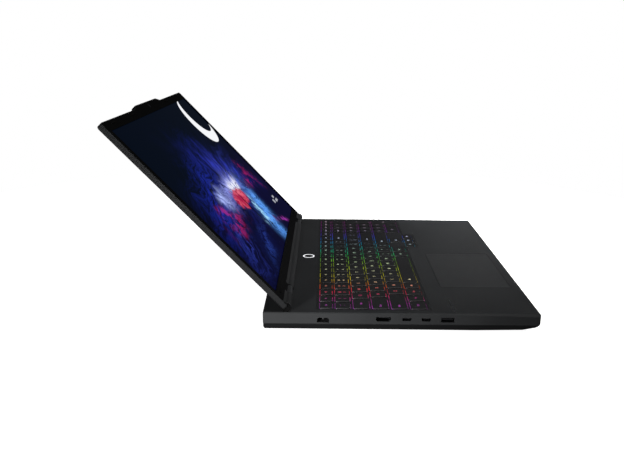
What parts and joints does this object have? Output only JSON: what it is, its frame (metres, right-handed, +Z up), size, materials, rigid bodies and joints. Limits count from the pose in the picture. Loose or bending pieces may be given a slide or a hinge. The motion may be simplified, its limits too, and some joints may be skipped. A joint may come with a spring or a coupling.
{
  "type": "laptop computer",
  "caption": "Clamshell gaming laptop standing open: hinged lid with a lit screen, backlit keyboard with number pad, touchpad, side sockets and rear exhaust grilles.",
  "frame": {"origin": "on the desk plane, at the centre of the rear foot's rest face, directly below the middle of the lid's hinge axis", "axes": "+X to the user's right along the hinge axis, +Y away from the user, +Z up"},
  "size_m": [0.3643, 0.4213, 0.2043],
  "materials": {
    "deck": "fine-textured satin, dark grey",
    "cover": "matte, near black",
    "lid_shell": "anodised, dark grey, satin",
    "bezel": "matte black",
    "keycap": "matte black, lit legends",
    "key_frame": "satin, dark grey",
    "light_sheet": "translucent diffuser",
    "touch_surface": "etched, matte",
    "button": "satin black",
    "light_ring": "translucent white",
    "badge": "bright satin",
    "rubber": "matte black",
    "steel": "satin",
    "dark_screw": "black oxide",
    "hinge_plastic": "satin, dark grey",
    "socket": "nickel-plated",
    "socket_plastic": "matte black",
    "screen": "matte anti-glare, lit",
    "tray": "plain",
    "board": "solder-mask green",
    "camera": "glossy black",
    "copper": "bare copper",
    "fins": "bare",
    "fan": "matte black",
    "battery": "black film",
    "foil": "foil"
  },
  "bodies": {
    "base": {"audio_jack": "socket_plastic", "battery_pack": "battery", "bottom_cover": "cover", "bottom_screws": "dark_screw", "cold_plate": "copper", "ethernet_port": "socket_plastic", "fan_housings": "fan", "front_feet": "rubber", "hdmi_port": "socket", "heat_pipes": "copper", "heatsink_fins": "fins", "hinge_bracket_screws": "dark_screw", "hinge_brackets": "steel", "hinge_caps": "hinge_plastic", "keyboard_backlight": "light_sheet", "keyboard_base_plate": "steel", "keyboard_frame": "key_frame", "memory_modules": "board", "motherboard": "board", "palm_badge": "badge", "power_inlet": "socket_plastic", "rear_foot": "rubber", "rear_grilles": "cover", "speakers": "fan", "storage_drives": "board", "top_case": "deck", "touchpad_bracket": "steel", "usb_a_ports": "socket", "usb_c_ports": "socket", "wireless_card": "board"},
    "lid": {"lid_cover": "lid_shell", "display_bezel": "bezel", "display_panel": "screen", "display_tray": "tray", "camera_module": "board", "camera_window": "camera", "lid_bumpers": "rubber", "antennas": "foil", "display_cable": "camera", "hinge_barrel_cover": "hinge_plastic", "hinge_pin_left": "steel", "hinge_pin_right": "steel", "hinge_arm_left": "steel", "hinge_arm_right": "steel", "hinge_arm_screws": "dark_screw"},
    "keys_function_row": {"keys_function_row": "keycap"},
    "keys_number_row": {"keys_number_row": "keycap"},
    "keys_upper_row": {"keys_upper_row": "keycap"},
    "keys_home_row": {"keys_home_row": "keycap"},
    "keys_lower_row": {"keys_lower_row": "keycap"},
    "keys_bottom_row": {"keys_bottom_row": "keycap"},
    "key_space": {"key_space": "keycap"},
    "keys_arrow": {"keys_arrow": "keycap"},
    "keys_number_pad": {"keys_number_pad": "keycap"},
    "power_button": {"power_button": "button", "power_button_ring": "light_ring"},
    "touchpad": {"touchpad": "touch_surface"},
    "shutter_switch": {"shutter_switch": "button"},
    "fan_left": {"fan_rotor_left": "fan"},
    "fan_right": {"fan_rotor_right": "fan"}
  },
  "joints": [
    {"name": "lid_hinge", "type": "hinge", "parent": "base", "child": "lid", "pos_m": [0, 0, 0.0233], "axis": [1, 0, 0], "range_deg": [-41, 133.93]},
    {"name": "keys_function_row_press", "type": "slide", "parent": "base", "child": "keys_function_row", "axis": [0, 0, -1], "range_m": [0, 0.0012], "stiffness_N_per_m": 500, "springref_m": -0.001},
    {"name": "keys_number_row_press", "type": "slide", "parent": "base", "child": "keys_number_row", "axis": [0, 0, -1], "range_m": [0, 0.0012], "stiffness_N_per_m": 500, "springref_m": -0.001},
    {"name": "keys_upper_row_press", "type": "slide", "parent": "base", "child": "keys_upper_row", "axis": [0, 0, -1], "range_m": [0, 0.0012], "stiffness_N_per_m": 500, "springref_m": -0.001},
    {"name": "keys_home_row_press", "type": "slide", "parent": "base", "child": "keys_home_row", "axis": [0, 0, -1], "range_m": [0, 0.0012], "stiffness_N_per_m": 500, "springref_m": -0.001},
    {"name": "keys_lower_row_press", "type": "slide", "parent": "base", "child": "keys_lower_row", "axis": [0, 0, -1], "range_m": [0, 0.0012], "stiffness_N_per_m": 500, "springref_m": -0.001},
    {"name": "keys_bottom_row_press", "type": "slide", "parent": "base", "child": "keys_bottom_row", "axis": [0, 0, -1], "range_m": [0, 0.0012], "stiffness_N_per_m": 500, "springref_m": -0.001},
    {"name": "key_space_press", "type": "slide", "parent": "base", "child": "key_space", "axis": [0, 0, -1], "range_m": [0, 0.0012], "stiffness_N_per_m": 500, "springref_m": -0.001},
    {"name": "keys_arrow_press", "type": "slide", "parent": "base", "child": "keys_arrow", "axis": [0, 0, -1], "range_m": [0, 0.0012], "stiffness_N_per_m": 500, "springref_m": -0.001},
    {"name": "keys_number_pad_press", "type": "slide", "parent": "base", "child": "keys_number_pad", "axis": [0, 0, -1], "range_m": [0, 0.0012], "stiffness_N_per_m": 500, "springref_m": -0.001},
    {"name": "power_button_press", "type": "slide", "parent": "base", "child": "power_button", "axis": [0, 0, -1], "range_m": [0, 0.0005], "stiffness_N_per_m": 1000, "springref_m": -0.0004},
    {"name": "touchpad_click", "type": "hinge", "parent": "base", "child": "touchpad", "pos_m": [-0.045, -0.1615, 0.0189], "axis": [1, 0, 0], "range_deg": [0, 0.35], "stiffness_Nm_per_rad": 17, "springref_deg": -0.11},
    {"name": "shutter_slide", "type": "slide", "parent": "base", "child": "shutter_switch", "axis": [0, -1, 0], "range_m": [0, 0.002]},
    {"name": "fan_spin_left", "type": "hinge", "parent": "base", "child": "fan_left", "pos_m": [-0.107, -0.058, 0.009], "axis": [0, 0, 1], "continuous": true},
    {"name": "fan_spin_right", "type": "hinge", "parent": "base", "child": "fan_right", "pos_m": [0.107, -0.058, 0.009], "axis": [0, 0, 1], "continuous": true}
  ]
}
